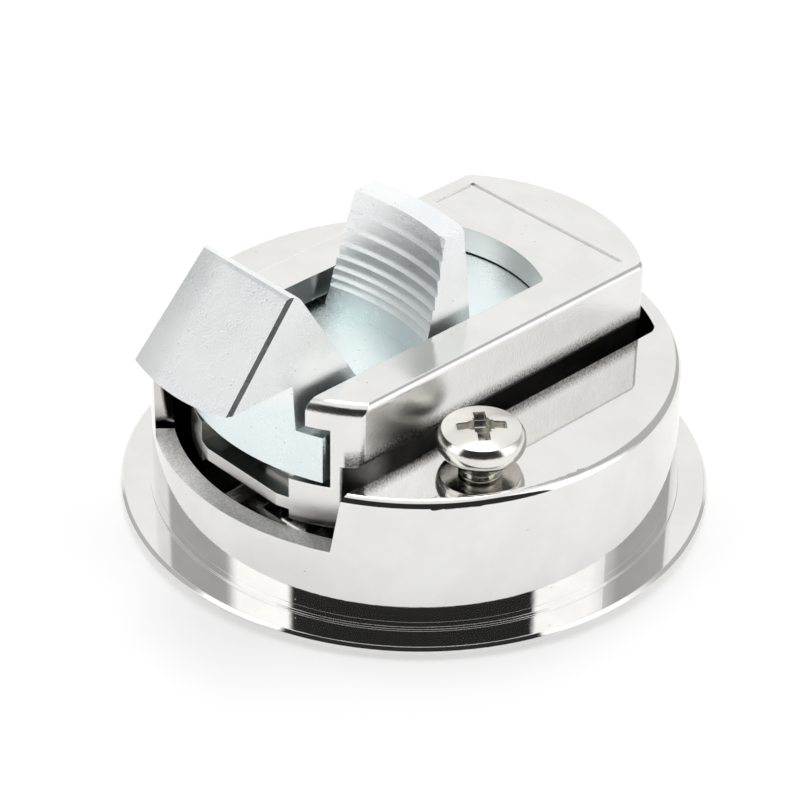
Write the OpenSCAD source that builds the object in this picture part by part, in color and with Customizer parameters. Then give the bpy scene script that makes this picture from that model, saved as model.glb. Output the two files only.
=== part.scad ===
// Flush ring pull: round slam latch with a raised bolt guide, lying on its face.
// Axes: +Z from the face to the back, -Y the way the tongue points, Z axis through the round body.

/* [Flange and cup] */
// Outer diameter of the flange
flange_d = 57.15; // [55:0.05:64]
// Thickness of the flange from its face to the panel seat
flange_t = 1.4; // [1.2:0.1:2]
// Thickness left at the rim of the flange
rim_t = 0.85; // [0.6:0.05:1.1]
// Bevel along the outer edge of the flange
rim_bevel = 0.3; // [0.1:0.05:0.4]
// Height of the small shoulder at the foot of the shell
shoulder_h = 0.25; // [0.1:0.05:0.5]
// Width of the shoulder beyond the shell
shoulder_w = 0.35; // [0.1:0.05:0.5]
// Diameter of the finger cup
cup_d = 43; // [42.4:0.1:44]
// Depth of the finger cup
cup_depth = 5; // [4.8:0.1:5.4]
// Thickness of the cup floor
cup_floor_t = 1.5; // [1:0.1:2]
// Diameter of the deep dish inside the ring
dish_d = 19.2; // [16:0.1:19.4]
// Depth of the dish from the face
dish_depth = 7.4; // [6.4:0.1:7.5]
// Wall round the dish
dish_wall = 1.4; // [1:0.1:1.5]

/* [Shell] */
// Diameter of the straight foot of the shell, for a two inch panel hole
shell_d = 50.8; // [50.2:0.05:51.4]
// Diameter at the rim of the back plate
rim_d = 50.5; // [49.4:0.05:50.6]
// Height above the face where the straight foot ends
straight_top = 8; // [6:0.1:10]
// Height of the back plate above the face
body_h = 15.05; // [14.8:0.05:16]
// Wall thickness at the foot
wall_t = 2; // [1.6:0.1:2.2]
// Thickness of the back plate
plate_t = 1.65; // [1.2:0.05:2]
// Rounding of the rim
rim_round = 0.9; // [0.2:0.05:1.2]
// Gap between guide and slot along the sides
slot_gap = 1.2; // [0.6:0.1:1.8]
// Corner radius of the slot
slot_corner = 2.4; // [1:0.1:3]
// Height of the ledge under the bolt notch
notch_z = 8.8; // [8:0.1:11]
// How far the notch's sides draw in from the back plate down to its ledge
notch_draft = 0.8; // [0.2:0.1:1.2]

/* [Bolt guide] */
// Width over both arms
guide_w = 24; // [23.4:0.1:25]
// Radius of the back end
tail_r = 18; // [17.5:0.05:18.3]
// Centre of the back end radius, behind the body axis
tail_y = 4.9; // [4.6:0.05:5]
// Height of the arm tops above the face
guide_top = 22.25; // [22:0.05:23]
// Radius of the front ends of the arms
nose_r = 17.75; // [17:0.05:18.5]
// Centre of the front end radius, ahead of the body axis
nose_y = 5; // [4.5:0.1:5.5]
// Thickness of the lips over the bolt
lip_t = 2.65; // [2:0.05:2.9]
// Width of the opening between the lips
mouth_w = 15.2; // [14.6:0.1:16]
// Back edge of the opening behind the axis
mouth_back = 11.2; // [11:0.1:12.5]
// Radius of that back edge
mouth_r = 15; // [12:0.5:24]
// Corner radius at that back edge
mouth_corner = 1.2; // [0.6:0.1:2]
// Width of the groove that the bolt slides in
groove_w = 19.3; // [18.8:0.1:19.6]
// Height of that groove
groove_h = 6.15; // [5.8:0.05:6.4]
// Width of the lower webs
web_w = 21; // [20.6:0.1:21.6]
// Thickness of the feet under the groove
foot_t = 4.4; // [4:0.1:4.8]
// Width between the feet
foot_gap = 12.1; // [11.6:0.1:12.4]
// Drop of the guide floor below the groove
floor_drop = 2.15; // [1.8:0.05:2.4]
// Thickness of the guide floor
guide_floor_t = 1.3; // [1:0.1:1.5]
// Thickness of the back wall
back_wall = 1.2; // [1:0.1:1.4]
// Rounding of the upper edges
guide_round = 0.6; // [0.4:0.05:1]
// Corner radius at the back end
guide_corner = 2.6; // [1:0.1:3]
// Corner radius at the front ends
nose_corner = 1.6; // [0.6:0.1:2]
// Rounding of the front upper edges
nose_round = 1.3; // [0.3:0.05:1.5]
// Gap between the back plate and the wide part of the arms
arm_gap = 0.75; // [0.4:0.05:1.2]
// Rounding of the lower edges of the arms
arm_round = 0.8; // [0.2:0.05:1]
// Corner radius of the webs at the front
web_corner = 0.8; // [0.4:0.1:1.2]
// Front edge of the guide floor, ahead of the axis
floor_front = 22.1; // [21.6:0.1:22.6]
// Length of the framed panel on the back end
panel_len = 20.2; // [16:0.1:21]
// Width of the framed panel
panel_w = 5.4; // [4:0.1:6]
// Middle of the framed panel, behind the axis
panel_y = 14.6; // [14:0.1:15.2]
// Depth of the framed panel
panel_depth = 0.18; // [0.1:0.01:0.3]

/* [Latch bolt] */
// Travel of the bolt
travel = 8.2; // [7.4:0.1:8.4]
// Radius of the front face of the bolt, from the body axis
bolt_r = 22.5; // [22:0.1:22.8]
// Reach of the tongue's corners from the body axis
tongue_reach = 28.9; // [28:0.05:31]
// Height of the tongue's corners above the face
tip_z = 23.5; // [23:0.1:24.5]
// How much lower the tongue's edge lies at its middle
tip_drop = 0.7; // [0.4:0.05:1]
// Chamfer along the sides of the slam face
slam_edge = 0.32; // [0.15:0.01:0.5]
// Height of the top of the tongue above the face
tongue_top = 32.1; // [31:0.1:33]
// Width of the tongue at its foot
tongue_w = 13.6; // [13:0.1:13.8]
// Width of the tongue at its top
tongue_top_w = 11.95; // [11:0.05:12.6]
// Rear foot of the tongue, ahead of the axis
tongue_rear = 12.4; // [11.6:0.1:13]
// Height of the thumb tab above the face
tab_top = 30.95; // [29:0.05:32]
// Height of the lowest tread on the tab
first_tread = 21.4; // [20.5:0.1:22.5]
// Number of treads on the tab
treads = 7; // [5:1:8]
// Depth of each tread
tread_d = 0.335; // [0.2:0.005:0.36]
// Growth of the risers from one to the next
riser_growth = 1.21; // [1:0.01:1.3]
// Radius of the tab's back at its top, about the tab's own axis
tab_back_r = 28.45; // [27.8:0.05:28.8]
// Depth of the tab from its front foot to its back at the top
tab_depth = 5; // [4.6:0.05:5.4]
// Centre of the tab's curves, ahead of the axis
tab_axis = 28; // [27:0.1:29]
// Radius of the tab's back at its foot
tab_heel_r = 29.25; // [28.9:0.05:29.4]
// Depth of the chamfers down the tab's front corners
tab_edge = 0.35; // [0.1:0.05:0.6]
// Depth of the chamfers along the sides of the tab's top
tab_top_edge = 0.2; // [0.1:0.05:0.4]

/* [Pull ring] */
// Outer diameter of the ring
ring_d = 30.8; // [28:0.1:31]
// Width of the ring's band
ring_band = 5.2; // [4:0.1:5.6]
// Thickness of the ring
ring_t = 3.6; // [3:0.1:3.8]
// Set-back of the ring from the face
ring_inset = 0.5; // [0.4:0.05:0.8]
// Corner rounding of the ring's band
ring_round = 1.2; // [0.6:0.1:1.4]
// Centre of the ring behind the axis
ring_y = 3.8; // [3.6:0.1:4]
// Hinge position ahead of the axis
hinge_y = 12.4; // [12:0.1:12.8]
// Hinge height above the face
hinge_z = 5.6; // [5.4:0.1:5.7]
// Radius of the hinge barrel
barrel_r = 2.7; // [2.4:0.1:2.8]
// Half length of the barrel
barrel_half = 7; // [6.6:0.1:7]
// Where the thick part of the barrel stops for the ring spring
barrel_step = 2.4; // [2:0.1:3]
// Thickness of the barrel's far end
barrel_end = 0.8; // [0.6:0.1:1]
// Radius of the hinge pin
pin_r = 1.5; // [1.2:0.1:1.5]
// Height of the lever tip's centre above the face
lever_tip_z = 15.3; // [15.1:0.1:15.5]
// Radius of the lever tip
lever_tip_r = 1.4; // [1.2:0.1:1.5]
// Width of the lever along the pin
lever_w = 3.6; // [3:0.1:4]

/* [Springs] */
// Outer diameter of the bolt springs
coil_d = 3.4; // [3:0.1:3.4]
// Wire diameter of the bolt springs
coil_wire = 0.5; // [0.4:0.05:0.6]
// Turns of each bolt spring
coil_turns = 15; // [12:1:18]
// Distance between the two bolt springs
coil_spacing = 8.8; // [8.6:0.1:8.8]
// Diameter of the rods inside the bolt springs
rod_d = 1.6; // [1.2:0.1:1.8]
// Wire diameter of the ring spring
ring_wire = 0.6; // [0.5:0.05:0.7]
// Radius of the ring spring's coil
ring_coil_r = 2.15; // [2.1:0.01:2.2]
// Length of the ring spring's leg on the cup floor
leg_floor = 4.2; // [3.6:0.1:4.6]
// Length of the ring spring's leg on the neck
leg_neck = 2.9; // [2.4:0.1:3.2]

/* [Screws] */
// Clamp screw position to the right of the axis
screw_x = 17.35; // [17:0.05:18]
// Clamp screw position ahead of the axis
screw_y = 8.65; // [7:0.05:10]
// Diameter of the clamp screw
screw_d = 4; // [3.5:0.1:4.2]
// Diameter of its head
head_d = 8.2; // [7.5:0.1:8.6]
// Height of its head
head_h = 2.7; // [2.4:0.1:3]
// Radius of the dome on its head
head_dome = 14; // [10:0.5:18]
// Radius of the round side of its head
head_side = 1.6; // [1.4:0.05:2]
// Length of the arms of its cross recess
cross_len = 4.5; // [4:0.1:5]
// Width of those arms
cross_w = 1.1; // [0.7:0.05:1.3]
// Gap under its head
head_gap = 1.3; // [0.8:0.1:2]
// Radius of the boss that it screws into
boss_r = 3.4; // [3:0.1:3.4]
// Diameter of the guide screws
guide_screw_d = 2.5; // [2:0.1:2.6]
// Head diameter of the guide screws
guide_head_d = 4.8; // [4:0.1:4.8]
// Position of the guide screws behind the axis
guide_screw_back = 12.8; // [12.8:0.1:14]
// Position of the guide screws ahead of the axis
guide_screw_front = 6.8; // [6.6:0.1:7]

/* [Clearances] */
// Play of the bolt under the lips
play_top = 0.7; // [0.4:0.05:0.8]
// Play of the bolt's rear pad under the back of the opening
play_pad = 0.15; // [0.1:0.05:0.6]
// Play of the bolt over the feet
play_bottom = 0.6; // [0.4:0.05:0.7]
// Play of the bolt at each side
play_side = 0.35; // [0.3:0.05:0.5]
// Play of the lever tip in its pocket
play_lever = 0.4; // [0.35:0.05:0.5]
// Running fit of ring and pin, on the radius
pin_fit = 0.05; // [0.02:0.01:0.1]
// Gap beside the barrel
play_barrel = 0.3; // [0.3:0.05:0.5]
// Gap beside the ring spring
spring_gap = 0.15; // [0.1:0.05:0.3]

/* [Hidden] */
$fn = 96;
chrome = [0.86, 0.87, 0.88];
zinc = [0.78, 0.83, 0.86];
steel = [0.66, 0.64, 0.61];

flange_r = flange_d / 2;
shell_r = shell_d / 2;
bore_r = shell_r - wall_t;
rim_r = rim_d / 2;
cup_r = min(cup_d / 2, bore_r - 0.6);
cup_top = cup_depth + cup_floor_t;
seat_z = flange_t + shoulder_h;
plate_z = body_h - plate_t;

guide_half = guide_w / 2;
notch_half = guide_half + slot_gap - 0.2;
lip_z = guide_top - lip_t;
groove_z = lip_z - groove_h;
foot_z = groove_z - foot_t;
guide_floor_z = groove_z - floor_drop;
cavity_r = tail_r - back_wall;
arm_z = body_h + arm_gap;
far = 60;

bolt_z = groove_z + play_bottom;
deck_z = lip_z - play_top;
bolt_half = groove_w / 2 - play_side;
bolt_tail_r = cavity_r - 0.4;

tongue_len = tongue_top - tip_z;
function side_at(z) = (tongue_w - (tongue_w - tongue_top_w) * (z - deck_z) / (tongue_top - deck_z)) / 2;
tip_half = side_at(tip_z);
keel_r = (tip_half * tip_half + tip_drop * tip_drop) / (2 * tip_drop);
pad_z = lip_z - play_pad;
tongue_crest = tongue_reach - tongue_len * 0.875;
slam_angle = atan2(tongue_top - 0.2 - tip_z, tongue_reach - tongue_crest);
slam_len = (tongue_top - tip_z) / sin(slam_angle);
slam_taper = atan((tip_half - tongue_top_w / 2) / slam_len);
tab_foot_r = tab_back_r - tab_depth;

lever_rise = lever_tip_z - hinge_z;
lever_len = sqrt(lever_rise * lever_rise + travel * travel / 4);
lever_angle = asin(travel / 2 / lever_len);
lever_y = hinge_y + travel / 2;

ring_r = ring_d / 2;
dish_top = dish_depth + dish_wall;
ear_r = 2.3;
ear_len = 3.5;
slot_half = barrel_half + play_barrel;
guide_screw_x = (foot_gap + web_w) / 4;
coil_x = coil_spacing / 2;
coil_z = bolt_z + coil_d / 2 + 0.25;
coil_mean = (coil_d - coil_wire) / 2;
coil_front = -4.8;
coil_back = tail_y + sqrt(pow(cavity_r, 2) - pow(coil_x + coil_d / 2, 2)) - 0.2;
groove_top = coil_z + coil_d / 2 + 0.3;

// Extrudes a Y-Z outline along X, centred.
module along_x(w) {
    translate([-w / 2, 0, 0]) rotate([90, 0, 90]) linear_extrude(w) children();
}

// Extrudes an X-Z outline along Y, from y0 to y1.
module along_y(y0, y1) {
    translate([0, y1, 0]) rotate([90, 0, 0]) linear_extrude(y1 - y0) children();
}

// Both sides of the plane X = 0.
module both() {
    children();
    mirror([1, 0, 0]) children();
}

// What a rounded vertical corner leaves off, between the side x = hw and the circle r about [0, yc].
// up = 1 for a corner behind the circle's centre, -1 for one ahead of it. The rounding meets both
// faces at a slight angle.
module corner_cut(hw, r, yc, c, up) {
    cx = hw - c * 0.96;
    cy = sqrt(pow(r - c * 0.96, 2) - cx * cx);
    k = (r + 2) / (r - c * 0.96);
    translate([0, yc]) scale([1, up]) difference() {
        polygon([[cx, cy], [hw + 2, cy], [hw + 2, cy * k], [cx * k, cy * k]]);
        translate([cx, cy]) circle(c);
    }
}

// Disc with a rounded upper edge.
module round_disc(r, z0, z1, c) {
    rotate_extrude() {
        polygon([[0, z0], [r, z0], [r, z1 - c], [r - c, z1 - c], [r - c, z1], [0, z1]]);
        intersection() {
            translate([r - c, z1 - c]) circle(c);
            square([r + c, z1 + c]);
        }
    }
}

// Cutter for an upright corner of the guide, whose upper edge is rounded too.
module corner_edge(hw, r, yc, c, up, edge) {
    cx = hw - c * 0.96;
    cy = sqrt(pow(r - c * 0.96, 2) - cx * cx);
    k = (r + 2) / (r - c * 0.96);
    difference() {
        translate([0, yc, foot_z - 1]) linear_extrude(far)
            polygon([[cx, up * cy], [hw + 2, up * cy], [hw + 2, up * cy * k], [cx * k, up * cy * k]]);
        translate([cx, yc + up * cy, 0]) round_disc(c, foot_z - 2, guide_top, edge);
    }
}

// Wire along a path of points, as one closed tube; nrm and bin are the two ways across it at each point.
module wire(path, nrm, bin, r, sides) {
    n = len(path);
    pts = [for (i = [0:n - 1]) for (j = [0:sides - 1])
        path[i] + r * (cos(360 * j / sides) * nrm[i] + sin(360 * j / sides) * bin[i])];
    body = [for (i = [0:n - 2]) for (j = [0:sides - 1])
        [i * sides + j, i * sides + (j + 1) % sides, (i + 1) * sides + (j + 1) % sides, (i + 1) * sides + j]];
    first = [for (j = [sides - 1:-1:0]) j];
    last = [for (j = [0:sides - 1]) (n - 1) * sides + j];
    polyhedron(points = pts, faces = concat([first], body, [last]), convexity = 10);
}

// Flange, finger cup, dish, hinge ears and the posts under the guide, one casting.
module bezel() {
    color(chrome) difference() {
        union() {
            rotate_extrude() polygon([[cup_r, 0], [shell_r - 0.4, 0], [flange_r - 0.25, flange_t - rim_t],
                [flange_r, flange_t - rim_t + 0.2], [flange_r, flange_t - rim_bevel],
                [flange_r - rim_bevel, flange_t],
                [shell_r + shoulder_w, flange_t], [shell_r + shoulder_w, seat_z], [bore_r, seat_z],
                [bore_r, cup_top], [0, cup_top], [0, cup_depth], [cup_r, cup_depth]]);
            translate([0, ring_y, cup_depth]) cylinder(r = dish_d / 2 + dish_wall, h = dish_top - cup_depth);
            both() for (y = [guide_screw_back, -guide_screw_front])
                translate([guide_screw_x, y, cup_depth])
                    cylinder(r = guide_head_d / 2, h = foot_z - cup_depth);
            both() translate([slot_half, -hinge_y, hinge_z]) {
                rotate([0, 90, 0]) cylinder(r = ear_r, h = ear_len);
                translate([0, -ear_r, cup_depth - hinge_z])
                    cube([ear_len, ear_r * 2, ear_r + hinge_z - cup_depth]);
            }
        }
        translate([0, ring_y, -1]) cylinder(r = dish_d / 2, h = dish_depth + 1);
        translate([-slot_half, -hinge_y - barrel_r - 0.9, cup_depth - 2.8])
            cube([slot_half * 2, barrel_r * 2 + 2, cup_floor_t + 6]);
        translate([-slot_half - ear_len, -hinge_y, hinge_z]) rotate([0, 90, 0])
            cylinder(r = pin_r, h = 2 * (slot_half + ear_len));
        both() for (y = [guide_screw_back, -guide_screw_front]) translate([guide_screw_x, y, cup_depth]) {
            translate([0, 0, -1]) cylinder(d = guide_screw_d + 0.2, h = foot_z - cup_depth + 2);
            cylinder(d1 = guide_head_d, d2 = guide_screw_d, h = (guide_head_d - guide_screw_d) / 2);
        }
    }
}

// Outline of the slot in the back plate, rounded at the back.
module slot_plan() {
    hw = guide_half + slot_gap;
    difference() {
        intersection() {
            square([hw * 2, bore_r * 3], center = true);
            circle(bore_r);
        }
        corner_cut(hw, bore_r, 0, slot_corner, 1);
        mirror([1, 0]) corner_cut(hw, bore_r, 0, slot_corner, 1);
    }
}

// Round wall with the back plate, open at the slot and the bolt notch.
module shell() {
    color(chrome) difference() {
        union() {
            rotate_extrude() {
                polygon([[bore_r, seat_z], [shell_r, seat_z], [shell_r, straight_top],
                    [rim_r, body_h - rim_round], [rim_r - rim_round, body_h - rim_round],
                    [rim_r - rim_round, body_h], [0, body_h],
                    [0, plate_z], [bore_r, plate_z]]);
                translate([rim_r - rim_round, body_h - rim_round]) circle(rim_round);
            }
            intersection() {
                translate([screw_x, -screw_y, cup_top + 1.4]) {
                    cylinder(r = boss_r, h = plate_z - cup_top - 1);
                    rotate([0, 0, -atan2(screw_y, screw_x)]) translate([0, -1.2, 0])
                        cube([8, 2.4, plate_z - cup_top - 1]);
                }
                cylinder(r = bore_r + 0.3, h = body_h);
            }
        }
        translate([0, 0, plate_z - 1]) linear_extrude(plate_t + 2) slot_plan();
        along_y(-flange_r, -8) polygon([[notch_draft - notch_half, notch_z],
            [notch_half - notch_draft, notch_z], [notch_half, body_h], [notch_half, body_h + 1],
            [-notch_half, body_h + 1], [-notch_half, body_h]]);
        translate([screw_x, -screw_y, 0]) cylinder(d = screw_d, h = body_h + 1);
    }
}

// Cross-section of the guide's outside, seen along the bolt.
module guide_section() {
    side = guide_half - arm_round;
    top = guide_half - guide_round;
    polygon([[-web_w / 2, foot_z], [web_w / 2, foot_z], [web_w / 2, arm_z], [side, arm_z],
        [side, arm_z + arm_round], [guide_half, arm_z + arm_round], [guide_half, guide_top - guide_round],
        [top, guide_top - guide_round], [top, guide_top], [-top, guide_top], [-top, guide_top - guide_round],
        [-guide_half, guide_top - guide_round], [-guide_half, arm_z + arm_round],
        [-side, arm_z + arm_round], [-side, arm_z], [-web_w / 2, arm_z]]);
    for (x = [-1, 1]) {
        translate([x * top, guide_top - guide_round]) circle(guide_round);
        translate([x * side, arm_z + arm_round]) circle(arm_round);
    }
}

// Outline inside the back wall, open to the front.
module cavity_plan(w) {
    intersection() {
        translate([-w / 2, -far]) square([w, far * 2]);
        union() {
            translate([0, tail_y]) circle(cavity_r);
            translate([-far, -far]) square([far * 2, far + tail_y]);
        }
    }
}

// Outline of the opening between the lips.
module mouth_plan() {
    hw = mouth_w / 2;
    difference() {
        intersection() {
            translate([-hw, -far]) square([mouth_w, far * 2]);
            union() {
                translate([0, mouth_back - mouth_r]) circle(mouth_r);
                translate([-hw, -far]) square([mouth_w, far + mouth_back - mouth_r]);
            }
        }
        corner_cut(hw, mouth_r, mouth_back - mouth_r, mouth_corner, 1);
        mirror([1, 0]) corner_cut(hw, mouth_r, mouth_back - mouth_r, mouth_corner, 1);
    }
}

// Raised channel that the bolt slides in, one casting.
module bolt_guide() {
    color(chrome) difference() {
        intersection() {
            along_y(-far, far) guide_section();
            union() {
                translate([0, tail_y, 0]) round_disc(tail_r, foot_z, guide_top, guide_round);
                translate([-far, tail_y - far, 0]) cube([far * 2, far, far]);
            }
            union() {
                translate([0, -nose_y, 0]) round_disc(nose_r, foot_z, guide_top, nose_round);
                translate([-far, -nose_y, 0]) cube([far * 2, far, far]);
            }
        }
        both() {
            corner_edge(guide_half, tail_r, tail_y, guide_corner, 1, guide_round);
            corner_edge(guide_half, nose_r, -nose_y, nose_corner, -1, guide_round);
        }
        translate([0, 0, foot_z - 1]) linear_extrude(arm_z - foot_z + 1) both()
            corner_cut(web_w / 2, nose_r, -nose_y, web_corner, -1);
        translate([-foot_gap / 2, -floor_front - 5, foot_z - 1]) cube([foot_gap, 5, foot_t + 0.5]);
        translate([0, 0, groove_z]) linear_extrude(groove_h) cavity_plan(groove_w);
        translate([0, 0, lip_z - 1]) linear_extrude(lip_t + 2) mouth_plan();
        translate([0, 0, guide_floor_z]) linear_extrude(floor_drop + 0.5) cavity_plan(foot_gap);
        translate([0, 0, foot_z - 1]) linear_extrude(guide_floor_z - guide_floor_t - foot_z + 1)
            cavity_plan(foot_gap);
        translate([-lever_w / 2 - 1.4, -hinge_y - travel / 2 - 0.5, foot_z])
            cube([lever_w + 2.8, travel + 1, foot_t]);
        both() {
            translate([coil_x, 15, coil_z]) rotate([-90, 0, 0]) cylinder(d = rod_d, h = 10);
            for (y = [guide_screw_back, -guide_screw_front])
                translate([guide_screw_x, y, foot_z - 1]) cylinder(d = guide_screw_d, h = foot_t + 0.5);
        }
        translate([0, panel_y, guide_top - panel_depth]) linear_extrude(1)
            square([panel_len, panel_w], center = true);
    }
}

// Side faces of tongue and tab, drawn in towards the top.
module bolt_draft(y0, y1) {
    along_y(y0, y1) polygon([[-tongue_w / 2, deck_z - 0.4], [tongue_w / 2, deck_z - 0.4],
        [tongue_w / 2, deck_z], [tongue_top_w / 2, tongue_top], [-tongue_top_w / 2, tongue_top],
        [-tongue_w / 2, deck_z]]);
}

// Outline of the thumb tab, from its own axis: steps in front, a plain back.
module tab_outline() {
    g = riser_growth - 0.0001;
    first_h = (tab_top - first_tread) * (g - 1) / (pow(g, treads) - 1);
    function tread_z(k) = first_tread + first_h * (pow(g, k) - 1) / (g - 1);
    polygon(concat([[tab_foot_r, deck_z - 0.4], [tab_foot_r, first_tread]],
        [for (k = [1:treads]) each [[tab_foot_r + k * tread_d, tread_z(k - 1)],
            [tab_foot_r + k * tread_d, tread_z(k)]]],
        [[tab_back_r, tab_top], [tab_heel_r, deck_z - 0.4]]));
}

// Cutters for the chamfers on one side of the thumb tab.
module tab_chamfers() {
    x0 = side_at(first_tread);
    x1 = side_at(tab_top);
    y0 = sqrt(pow(tab_foot_r, 2) - x0 * x0);
    y1 = sqrt(pow(tab_foot_r + treads * tread_d, 2) - x1 * x1);
    turn = atan2(-y0 / tab_foot_r, 1 - x0 / tab_foot_r);
    lean = atan2(tab_top - first_tread, -cos(turn) * (x1 - x0) - sin(turn) * (y1 - y0));
    translate([x0, y0 - tab_axis, first_tread]) rotate([0, lean, turn])
        translate([-far / 2, -far / 2, -tab_edge]) cube([far, far, 5]);
    translate([x1, 0, tab_top]) rotate([0, 45, 0]) translate([-5, -far / 2, -tab_top_edge]) cube([10, far, 5]);
}

// Outline of the bolt's plate: round front, back end that follows the guide's.
module bolt_plan() {
    intersection() {
        square([bolt_half * 2, far * 2], center = true);
        circle(bolt_r);
        union() {
            translate([0, tail_y - travel]) circle(bolt_tail_r);
            translate([-far, -far]) square([far * 2, far + tail_y - travel]);
        }
    }
}

// Wedge tongue: slam face in front, lowest edge bowed down at its middle, foot on the bolt's plate.
module tongue() {
    low = tip_drop + 0.5;
    top = [[-tongue_crest + 0.35, tongue_top], [-tongue_crest + 0.85, tongue_top - 0.02],
        [-tongue_crest + 1.3, tongue_top - 0.4]];
    difference() {
        intersection() {
            bolt_draft(-far, -5);
            union() {
                intersection() {
                    along_x(far) polygon(concat([[-tongue_reach - low / tan(slam_angle), tip_z - low],
                        [-tongue_crest, tongue_top - 0.2]], top, [[-tongue_crest + 1.3, tip_z - low]]));
                    translate([0, 0, tip_z - tip_drop + keel_r]) rotate([90, 0, 0])
                        cylinder(r = keel_r, h = far);
                }
                along_x(far) polygon(concat([[-tongue_crest + 0.35, deck_z - 0.3]], top,
                    [[-tongue_rear, deck_z - 0.3]]));
            }
        }
        both() translate([tip_half, -tongue_reach, tip_z]) rotate([slam_angle, 0, 0]) rotate([0, 0, slam_taper])
            rotate([0, 45, 0]) translate([-3, -3, -slam_edge * sqrt(0.5)]) cube([6, slam_len + 5, 4]);
    }
    intersection() {
        bolt_draft(-far, -bolt_r + 4);
        translate([0, 0, bolt_z]) cylinder(r = bolt_r, h = tip_z + 0.2 - bolt_z);
    }
}

// Sliding bolt: plate, wedge tongue and ribbed tab, one casting.
module latch_bolt() {
    color(zinc) difference() {
        union() {
            translate([0, 0, bolt_z]) linear_extrude(deck_z - bolt_z) bolt_plan();
            translate([0, 0, bolt_z]) linear_extrude(pad_z - bolt_z) intersection() {
                bolt_plan();
                translate([0.5 - mouth_w / 2, 0]) square([mouth_w - 1, far]);
            }
            tongue();
            difference() {
                intersection() {
                    bolt_draft(-9, 4);
                    translate([0, -tab_axis, 0]) rotate_extrude($fn = 180) tab_outline();
                }
                both() tab_chamfers();
            }
        }
        both() translate([coil_x - coil_d / 2 - 0.3, coil_front - 0.1, bolt_z - 1])
            cube([coil_d + 0.6, 40, groove_top - bolt_z + 1]);
        translate([-lever_w / 2 - 0.7, -lever_y - lever_tip_r - play_lever, bolt_z - 1])
            cube([lever_w + 1.4, (lever_tip_r + play_lever) * 2,
                hinge_z + lever_len + lever_tip_r + 0.4 - bolt_z + 1]);
    }
}

// Two coil springs that push the bolt out.
module bolt_springs() {
    steps = coil_turns * 12;
    color(steel) both() {
        path = [for (i = [0:steps]) [coil_x + coil_mean * cos(30 * i),
            coil_front + coil_wire / 2 + (coil_back - coil_front - coil_wire) * i / steps,
            coil_z + coil_mean * sin(30 * i)]];
        nrm = [for (i = [0:steps]) [cos(30 * i), 0, sin(30 * i)]];
        bin = [for (i = [0:steps]) [0, 1, 0]];
        wire(path, nrm, bin, coil_wire / 2, 6);
    }
}

// Rods inside the coil springs, set in the guide's back wall.
module spring_rods() {
    end = tail_y + sqrt(pow(tail_r, 2) - pow(coil_x + rod_d / 2, 2)) - 0.1;
    color(steel) both() translate([coil_x, -5 + travel + 1, coil_z]) rotate([-90, 0, 0])
        cylinder(d = rod_d, h = end + 5 - travel - 1);
}

// Ring with its neck, hinge barrel and lever, one casting.
module pull_ring() {
    mid = ring_r - ring_band / 2;
    color(chrome) difference() {
        union() {
            translate([0, ring_y, ring_inset]) rotate_extrude() translate([mid, 0]) {
                translate([-ring_band / 2, ring_round]) square([ring_band, ring_t - ring_round * 2]);
                translate([ring_round - ring_band / 2, 0]) square([ring_band - ring_round * 2, ring_t]);
                for (x = [-1, 1]) for (z = [ring_round, ring_t - ring_round])
                    translate([x * (ring_band / 2 - ring_round), z]) circle(ring_round);
            }
            translate([-barrel_half + 0.2, -hinge_y - 1.7, ring_inset + 0.3])
                cube([barrel_half * 2 - 0.4, 6.5, hinge_z - barrel_r - ring_inset - 0.8]);
            translate([-barrel_half + 0.2, -hinge_y - 1.2, ring_inset + 0.3])
                cube([barrel_half + 2, 5.6, ring_t - 0.3]);
            translate([-barrel_half, -hinge_y, hinge_z]) rotate([0, 90, 0])
                cylinder(r = barrel_r, h = barrel_half + barrel_step);
            translate([barrel_half - barrel_end, -hinge_y, hinge_z]) rotate([0, 90, 0])
                cylinder(r = barrel_r, h = barrel_end);
            translate([barrel_half - barrel_end, -hinge_y - 1.7, ring_inset + 0.3])
                cube([barrel_end - 0.2, 3.4, hinge_z - ring_inset - 0.3]);
            translate([0, -hinge_y, hinge_z]) rotate([lever_angle, 0, 0]) {
                along_x(lever_w) polygon([[-2, 0], [2, 0], [0.85, lever_len - 2], [0.85, lever_len],
                    [-0.85, lever_len], [-0.85, lever_len - 2]]);
                translate([-lever_w / 2, 0, lever_len]) rotate([0, 90, 0])
                    cylinder(r = lever_tip_r, h = lever_w);
            }
        }
        translate([-far, -hinge_y, hinge_z]) rotate([0, 90, 0]) cylinder(r = pin_r + pin_fit, h = far * 2);
    }
}

// Hinge pin, pressed into the ears.
module ring_pin() {
    color(steel) translate([-slot_half - ear_len, -hinge_y, hinge_z]) rotate([0, 90, 0])
        cylinder(r = pin_r, h = 2 * (slot_half + ear_len));
}

// Torsion spring beside the barrel: one leg on the cup floor, one against the ring's neck.
module ring_spring() {
    x0 = barrel_step + ring_wire / 2 + spring_gap;
    x1 = barrel_half - barrel_end - ring_wire / 2 - spring_gap;
    a0 = 80;
    a1 = 180 + 360 * 3;
    steps = 60;
    coil = [for (i = [0:steps]) let (a = a0 + (a1 - a0) * i / steps) [x0 + (x1 - x0) * i / steps,
        -hinge_y + ring_coil_r * cos(a), hinge_z + ring_coil_r * sin(a)]];
    leg0 = coil[0] + leg_floor * [0, sin(a0), -cos(a0)];
    leg1 = coil[steps] + [0, 0, -leg_neck];
    path = concat([leg0], coil, [leg1]);
    nrm = concat([[0, cos(a0), sin(a0)]], [for (i = [0:steps]) let (a = a0 + (a1 - a0) * i / steps)
        [0, cos(a), sin(a)]], [[0, cos(a1), sin(a1)]]);
    bin = [for (p = path) [-1, 0, 0]];
    color(steel) wire(path, nrm, bin, ring_wire / 2, 6);
}

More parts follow.
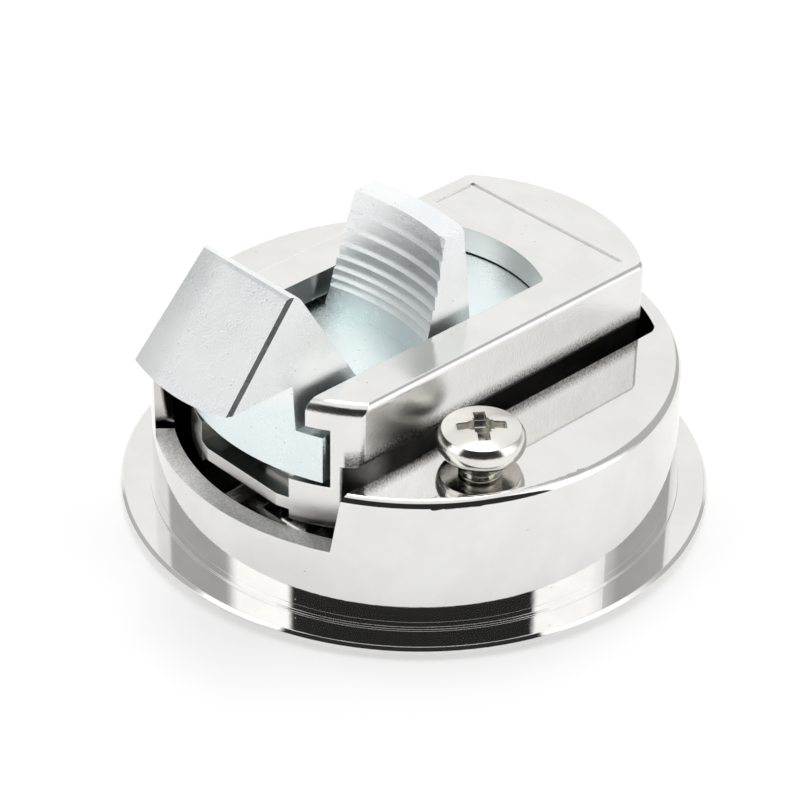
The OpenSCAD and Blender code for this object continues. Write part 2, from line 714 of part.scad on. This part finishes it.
// Flat-head screws from the cup floor into the guide's feet.
module guide_screws() {
    head = (guide_head_d - guide_screw_d) / 2;
    color(steel) both() for (y = [guide_screw_back, -guide_screw_front])
        translate([guide_screw_x, y, cup_depth]) difference() {
            union() {
                cylinder(d1 = guide_head_d, d2 = guide_screw_d, h = head);
                cylinder(d = guide_screw_d, h = foot_z + foot_t - 0.9 - cup_depth);
            }
            for (a = [0, 90]) rotate([0, 0, a]) translate([-1.3, -0.25, -0.1]) cube([2.6, 0.5, 0.8]);
        }
}

// Pan-head screw that holds the panel clamp, standing proud of the back plate.
module clamp_screw() {
    under = body_h + head_gap;
    color(steel) translate([screw_x, -screw_y, 0]) difference() {
        union() {
            intersection() {
                translate([0, 0, under]) rotate_extrude() intersection() {
                    union() {
                        translate([head_d / 2 - head_side, head_h * 0.4]) circle(head_side);
                        square([head_d / 2 - head_side, head_h]);
                    }
                    square([head_d, head_h]);
                }
                translate([0, 0, under + head_h - head_dome]) sphere(head_dome);
            }
            translate([0, 0, cup_top + 2]) cylinder(d = screw_d, h = body_h - cup_top - 2);
            translate([0, 0, body_h - 0.1]) cylinder(d = screw_d - 0.8, h = head_gap + 0.2);
            for (i = [0:1]) translate([0, 0, body_h + 0.1 + i * 0.65]) {
                cylinder(d1 = screw_d - 0.8, d2 = screw_d, h = 0.25);
                translate([0, 0, 0.25]) cylinder(d1 = screw_d, d2 = screw_d - 0.8, h = 0.25);
            }
        }
        translate([0, 0, under + head_h]) for (a = [52, 142]) rotate([0, 0, a]) {
            translate([-cross_len / 2, -cross_w / 2, -head_h * 0.42]) cube([cross_len, cross_w, head_h]);
            translate([-cross_len / 4, -cross_w * 2 / 3, -head_h * 0.65])
                cube([cross_len / 2, cross_w * 4 / 3, head_h]);
        }
    }
}

bezel();
shell();
bolt_guide();
latch_bolt();
bolt_springs();
spring_rods();
pull_ring();
ring_pin();
ring_spring();
guide_screws();
clamp_screw();
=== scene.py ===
"""Looks of the flush ring pull: procedural metals, a pale floor, soft studio light and the camera."""
import math
import bpy
from mathutils import Matrix, Vector

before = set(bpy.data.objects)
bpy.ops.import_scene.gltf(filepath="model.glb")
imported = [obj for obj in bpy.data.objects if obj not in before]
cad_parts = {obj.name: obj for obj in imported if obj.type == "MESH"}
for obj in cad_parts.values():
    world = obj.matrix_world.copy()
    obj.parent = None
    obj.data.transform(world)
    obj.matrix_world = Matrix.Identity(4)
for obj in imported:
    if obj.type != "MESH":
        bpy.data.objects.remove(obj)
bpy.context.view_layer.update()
scene = bpy.context.scene
scene.view_settings.view_transform = "Standard"

# Lengths are in metres, and texture scales in cells per metre
CLOUD_SCALE = 240.0           # slow clouds of tone
PEEL_SCALE = 700.0            # orange peel of the plating
PEEL_DEPTH = 0.0003
GRAIN_DEPTH = 0.00005
# The crust noise also grains the painted shade on the guide's arms.
CRUST_SCALE = 4400.0          # rough casting
CRUST_GRAIN = 0.4
PIT_SCALE = 1100.0
PIT_SIZE = 0.13               # share of a cell
PIT_DEPTH = 0.00003
PIT_TONE = (0.3, 0.3, 0.29)
SIDE_ROUGH = 0.08             # more roughness on the upright faces of a casting

FLOOR_SIDES = 64
FLOOR_HOLE = 0.027            # under the flange, which hides it
FLOOR_REACH = 5.0
FLOOR_DROP = 0.00002          # keeps the floor off the face of the flange
FLOOR_TONE = 0.85
FLOOR_GLOW = 0.34             # brings the floor to white for the camera and for reflections

TENT_LIGHT = 1.03             # far side of the tent
TENT_GREY = 0.55
TENT_WHITE = 1.55             # panels on both sides of the opening
TENT_DARK = 0.03              # opening on the camera's side
TENT_TOP = 1.0
TENT_BELOW = 0.45             # at the horizon, seen only from under the floor
TENT_AHEAD = (0.719, -0.695, 0.0)
TENT_ASIDE = (0.695, 0.719, 0.0)

KEY_PLACE = (-0.133, 0.129, 0.571)
KEY_AIM = (0, 0, 0.01)
KEY_SIZE = 0.2
KEY_POWER = 0.45


class Nodes:
    """Shorthand for building a node tree."""

    def __init__(self, tree):
        self.tree = tree
        tree.nodes.clear()

    def add(self, kind, inputs=None, **props):
        node = self.tree.nodes.new(kind)
        for name, value in props.items():
            setattr(node, name, value)
        for name, value in (inputs or {}).items():
            self.put(node.inputs[name], value)
        return node

    def put(self, socket, value):
        """Link a socket to another one, or set its value."""
        if isinstance(value, bpy.types.NodeSocket):
            self.tree.links.new(value, socket)
        else:
            socket.default_value = value

    def end(self, kind, shader):
        """The output node, fed by this shader."""
        self.put(self.add(kind).inputs[0], shader.outputs[0])

    def split(self, vector):
        return self.add("ShaderNodeSeparateXYZ", {"Vector": vector}).outputs

    def dot(self, a, b):
        node = self.add("ShaderNodeVectorMath", {0: a, 1: b}, operation="DOT_PRODUCT")
        return node.outputs["Value"]

    def math(self, op, a, b=None, clamp=False):
        node = self.add("ShaderNodeMath", operation=op, use_clamp=clamp)
        self.put(node.inputs[0], a)
        if b is not None:
            self.put(node.inputs[1], b)
        return node.outputs[0]

    def times(self, *values):
        out = values[0]
        for value in values[1:]:
            out = self.math("MULTIPLY", out, value)
        return out

    def ramp(self, value, low, high, out_low=0.0, out_high=1.0):
        """Smooth step from out_low at low to out_high at high."""
        inputs = {"Value": value, "From Min": low, "From Max": high,
                  "To Min": out_low, "To Max": out_high}
        return self.add("ShaderNodeMapRange", inputs, interpolation_type="SMOOTHSTEP").outputs[0]

    def mix(self, factor, a, b):
        """Mix two colours."""
        node = self.add("ShaderNodeMix", data_type="RGBA")
        self.put(node.inputs[0], factor)
        self.put(node.inputs[6], a)
        self.put(node.inputs[7], b)
        return node.outputs[2]

    def blend(self, factor, a, b):
        """Mix two numbers."""
        node = self.add("ShaderNodeMix", data_type="FLOAT")
        self.put(node.inputs[0], factor)
        self.put(node.inputs[2], a)
        self.put(node.inputs[3], b)
        return node.outputs[0]

    def noise(self, vector, scale, detail=2.0, rough=0.5):
        inputs = {"Vector": vector, "Scale": scale, "Detail": detail, "Roughness": rough}
        return self.add("ShaderNodeTexNoise", inputs).outputs["Fac"]

    def pits(self, vector, scale, share, size):
        """Rare round dots: about this share of the cells of a Voronoi pattern has one."""
        cell = self.add("ShaderNodeTexVoronoi", {"Vector": vector, "Scale": scale}).outputs
        pick = self.add("ShaderNodeSeparateColor", {"Color": cell["Color"]}).outputs[0]
        dot = self.ramp(cell["Distance"], size * 0.5, size, 1.0, 0.0)
        return self.math("MULTIPLY", dot, self.math("LESS_THAN", pick, share))

    def bump(self, height, strength, distance, normal=None):
        inputs = {"Height": height, "Strength": strength, "Distance": distance}
        node = self.add("ShaderNodeBump", inputs)
        if normal is not None:
            self.put(node.inputs["Normal"], normal)
        return node.outputs[0]


def metal(name, tones, rough, rough_var, peel, grain, grain_scale, edge=0.0, pit_share=0.0,
          side_grain=None, patch=None, tint=None):
    """A plated metal.

    Its two close tones lie in slow clouds, and the roughness varies with a fine grain. Edges look
    rounded by edge, and peel, grain and rare pits are bump. side_grain is the grain of upright faces.
    patch(n, part, face, crust) gives a mask, two tones and the roughness of a duller place; the tones
    can also be painted shade.
    tint(n, part, face, tone) gives a new tone and the normal to start from.
    """
    mat = bpy.data.materials.new(name)
    mat.use_nodes = True
    n = Nodes(mat.node_tree)
    at = n.add("ShaderNodeTexCoord").outputs["Object"]
    part = n.split(at)
    face = n.split(n.add("ShaderNodeNewGeometry").outputs["True Normal"])
    slow = n.noise(at, CLOUD_SCALE, 3.0)
    fine = n.noise(at, grain_scale, 3.0, 0.62)
    tone = n.mix(n.ramp(slow, 0.32, 0.68), (*tones[0], 1), (*tones[1], 1))
    wear = n.math("ADD", n.times(fine, 0.65), n.times(slow, 0.35))
    r = n.ramp(wear, 0.3, 0.7, rough - rough_var, rough + rough_var)
    strength = grain
    if side_grain is not None:
        upright = n.ramp(n.math("ABSOLUTE", face["Z"]), 0.55, 0.85, 1.0, 0.0)
        strength = n.blend(upright, grain, side_grain)
        r = n.blend(upright, r, n.math("ADD", r, SIDE_ROUGH))
    normal = n.add("ShaderNodeBevel", {"Radius": edge}, samples=12).outputs[0] if edge else None
    if tint is not None:
        tone, normal = tint(n, part, face, tone)
    if patch is not None:
        crust = n.noise(at, CRUST_SCALE, 4.0, 0.75)
        # A patch puts in its own speckled tones; on the guide's arms these are painted shade.
        bare_and_shade, dark_tone, bright, patch_rough = patch(n, part, face, crust)
        speckle = n.mix(n.ramp(crust, 0.38, 0.62), (*dark_tone, 1), (*bright, 1))
        tone = n.mix(bare_and_shade, tone, speckle)
        r = n.blend(bare_and_shade, r, n.ramp(crust, 0.3, 0.7, patch_rough - 0.1, patch_rough + 0.1))
        strength = n.blend(bare_and_shade, strength, CRUST_GRAIN)
    if pit_share:
        pits = n.pits(at, PIT_SCALE, pit_share, PIT_SIZE)
        tone = n.mix(n.times(pits, 0.45), tone, (*PIT_TONE, 1))
        normal = n.bump(n.math("MULTIPLY", pits, -1.0), 0.3, PIT_DEPTH, normal)
    normal = n.bump(n.noise(at, PEEL_SCALE, 2.0), peel, PEEL_DEPTH, normal)
    normal = n.bump(fine, strength, GRAIN_DEPTH, normal)
    n.end("ShaderNodeOutputMaterial", n.add("ShaderNodeBsdfPrincipled", {
        "Base Color": tone, "Metallic": 1.0, "Roughness": r, "Normal": normal}))
    return mat


def notch_ledge(n, part, face, crust):
    """The ledge of the bolt's notch in the shell, left as cast."""
    low = n.ramp(part["Z"], 0.0092, 0.0096, 1.0, 0.0)
    high = n.ramp(part["Z"], 0.0080, 0.0085)
    front = n.ramp(part["Y"], -0.0170, -0.0160, 1.0, 0.0)
    mask = n.times(low, high, front, n.ramp(face["Z"], 0.6, 0.8))
    return mask, (0.74, 0.735, 0.72), (0.98, 0.97, 0.95), 0.45


def arm_foot_shade(n, part, face, crust):
    """The lower edges of the guide's arms and the webs below, darkened with painted shade in speckled
    tones and given a rougher finish.
    """
    height = n.math("ADD", part["Z"], n.times(crust, 0.0009))
    low = n.ramp(height, 0.0168, 0.0184, 1.0, 0.0)
    high = n.ramp(part["Z"], 0.0148, 0.0152)
    outer = n.ramp(n.math("ABSOLUTE", part["X"]), 0.0106, 0.0108)
    return n.times(low, high, outer), (0.10, 0.10, 0.095), (0.34, 0.335, 0.32), 0.35


def bolt_tint_and_painted_light(n, part, face, tone):
    """Bluer low down; the slam face is made paler with painted light, and crowned towards one side.
    """
    low = n.ramp(part["Z"], 0.0225, 0.0195)
    slope = n.times(n.ramp(face["Z"], 0.45, 0.55), n.ramp(face["Z"], 0.75, 0.85, 1.0, 0.0))
    tone = n.mix(n.times(low, 0.9), tone, (0.79, 0.87, 0.875, 1))
    # Painted light: the slam face is made paler.
    tone = n.mix(n.times(slope, 0.4), tone, (0.95, 0.965, 0.965, 1))
    side = n.math("MAXIMUM", n.math("SUBTRACT", -0.0025, part["X"]), 0.0)
    return tone, n.bump(n.times(side, side, slope, -20.0), 1.0, 1.0)


chrome_tones = ((0.77, 0.76, 0.745), (0.80, 0.795, 0.78))
cast_tones = ((0.78, 0.775, 0.755), (0.82, 0.815, 0.80))
zinc_tones = ((0.84, 0.865, 0.87), (0.90, 0.915, 0.915))
steel_tones = ((0.60, 0.585, 0.55), (0.68, 0.66, 0.62))
screw_tones = ((0.73, 0.71, 0.67), (0.80, 0.78, 0.74))

chrome = metal("polished_chrome", chrome_tones, rough=0.045, rough_var=0.015, peel=0.010,
               grain=0.008, grain_scale=5200.0, pit_share=0.05, patch=notch_ledge)
face_chrome = metal("face_chrome", chrome_tones, rough=0.045, rough_var=0.015, peel=0.010,
                    grain=0.008, grain_scale=5200.0, edge=0.00008, pit_share=0.03)
# The guide's chrome gets painted shade on the lower edges of its arms.
cast_chrome = metal("chrome_on_casting", cast_tones, rough=0.11, rough_var=0.04, peel=0.02,
                    grain=0.12, grain_scale=5800.0, edge=0.00008, pit_share=0.05,
                    side_grain=0.38, patch=arm_foot_shade)
zinc = metal("satin_zinc", zinc_tones, rough=0.32, rough_var=0.07, peel=0.06,
             grain=0.55, grain_scale=5200.0, pit_share=0.4, tint=bolt_tint_and_painted_light)
steel = metal("plain_steel", steel_tones, rough=0.22, rough_var=0.05, peel=0.04,
              grain=0.12, grain_scale=5000.0)
screw = metal("plated_screw", screw_tones, rough=0.17, rough_var=0.05, peel=0.05,
              grain=0.12, grain_scale=4200.0, edge=0.00010, pit_share=0.15)

looks = {
    "bezel": face_chrome, "shell": chrome, "bolt_guide": cast_chrome, "pull_ring": face_chrome,
    "latch_bolt": zinc, "bolt_springs": steel, "spring_rods": steel, "ring_pin": steel,
    "ring_spring": steel, "guide_screws": screw, "clamp_screw": screw,
}
for name, mat in looks.items():
    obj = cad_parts[name]
    obj.data.materials.clear()
    obj.data.materials.append(mat)

# Floor, open under the flange where the ring swings out, and see-through from below
turns = [2 * math.pi * i / FLOOR_SIDES for i in range(FLOOR_SIDES)]
points = [(r * math.cos(t), r * math.sin(t), 0) for r in (FLOOR_HOLE, FLOOR_REACH) for t in turns]
pairs = [(i, (i + 1) % FLOOR_SIDES) for i in range(FLOOR_SIDES)]
me = bpy.data.meshes.new("floor")
me.from_pydata(points, [], [(a, a + FLOOR_SIDES, b + FLOOR_SIDES, b) for a, b in pairs])
floor = bpy.data.objects.new("floor", me)
floor.location.z = -FLOOR_DROP
scene.collection.objects.link(floor)
mat = bpy.data.materials.new("pale_floor")
mat.use_nodes = True
n = Nodes(mat.node_tree)
path = n.add("ShaderNodeLightPath").outputs
seen = n.math("ADD", path["Is Camera Ray"], path["Is Glossy Ray"])
seen = n.math("ADD", seen, path["Is Transmission Ray"], clamp=True)
white = n.add("ShaderNodeBsdfDiffuse", {"Color": (FLOOR_TONE, FLOOR_TONE, FLOOR_TONE, 1)})
glow = n.add("ShaderNodeEmission", {"Color": (1, 1, 1, 1), "Strength": n.times(seen, FLOOR_GLOW)})
both = n.add("ShaderNodeAddShader", {0: white.outputs[0], 1: glow.outputs[0]})
clear = n.add("ShaderNodeBsdfTransparent")
under = n.add("ShaderNodeNewGeometry").outputs["Backfacing"]
n.end("ShaderNodeOutputMaterial", n.add("ShaderNodeMixShader", {
    0: under, 1: both.outputs[0], 2: clear.outputs[0]}))
me.materials.append(mat)

# Light tent, by how far round from the camera's side: dark opening, white panels, grey, light
world = bpy.data.worlds.new("light_tent")
scene.world = world
world.use_nodes = True
n = Nodes(world.node_tree)
way = n.split(n.add("ShaderNodeTexCoord").outputs["Generated"])
flat = n.add("ShaderNodeCombineXYZ", {"X": way["X"], "Y": way["Y"], "Z": 0.0}).outputs[0]
flat = n.add("ShaderNodeVectorMath", {0: flat}, operation="NORMALIZE").outputs[0]
ahead = n.dot(flat, TENT_AHEAD)
aside = n.dot(flat, TENT_ASIDE)
shade = n.ramp(n.math("ADD", ahead, n.times(aside, 0.141)), -0.85, -0.79, TENT_LIGHT, TENT_GREY)
fade = n.ramp(aside, 0.0, 0.5, 0.08, 0.20)     # the right panel's far edge is softer
panel = n.ramp(n.math("ADD", ahead, n.times(aside, 0.06)), n.times(fade, -1.0), fade)
shade = n.blend(panel, shade, TENT_WHITE)
shade = n.blend(n.ramp(ahead, 0.55, 0.60), shade, TENT_DARK)
walls = n.times(n.ramp(way["Z"], 0.0, 0.08), n.ramp(way["Z"], 0.84, 0.92, 1.0, 0.0))
below = n.ramp(way["Z"], -0.95, -0.05, 1.0, TENT_BELOW)
other = n.blend(n.math("GREATER_THAN", way["Z"], 0.0), below, TENT_TOP)
shade = n.blend(walls, other, shade)
path = n.add("ShaderNodeLightPath").outputs
shade = n.blend(path["Is Camera Ray"], shade, 1.0)
n.end("ShaderNodeOutputWorld", n.add("ShaderNodeBackground", {
    "Color": (1, 1, 1, 1), "Strength": shade}))

# Key light
lamp = bpy.data.lights.new("key", "AREA")
lamp.size = KEY_SIZE
lamp.energy = KEY_POWER
key = bpy.data.objects.new("key", lamp)
key.location = KEY_PLACE
key.rotation_euler = (Vector(KEY_AIM) - Vector(KEY_PLACE)).to_track_quat("-Z", "Y").to_euler()
scene.collection.objects.link(key)

# Camera, fitted to the circles of the flange and the shell
cam = bpy.data.cameras.new("camera")
cam.sensor_width = 36.0
cam.lens = 128.542
cam.clip_start = 0.01
eye = bpy.data.objects.new("camera", cam)
scene.collection.objects.link(eye)
eye.matrix_world = Matrix(((0.688217, -0.413468, 0.596155, 0.163088),
                           (0.725367, 0.376154, -0.576498, -0.159768),
                           (0.014117, 0.829188, 0.558792, 0.162858),
                           (0, 0, 0, 1)))
scene.camera = eye
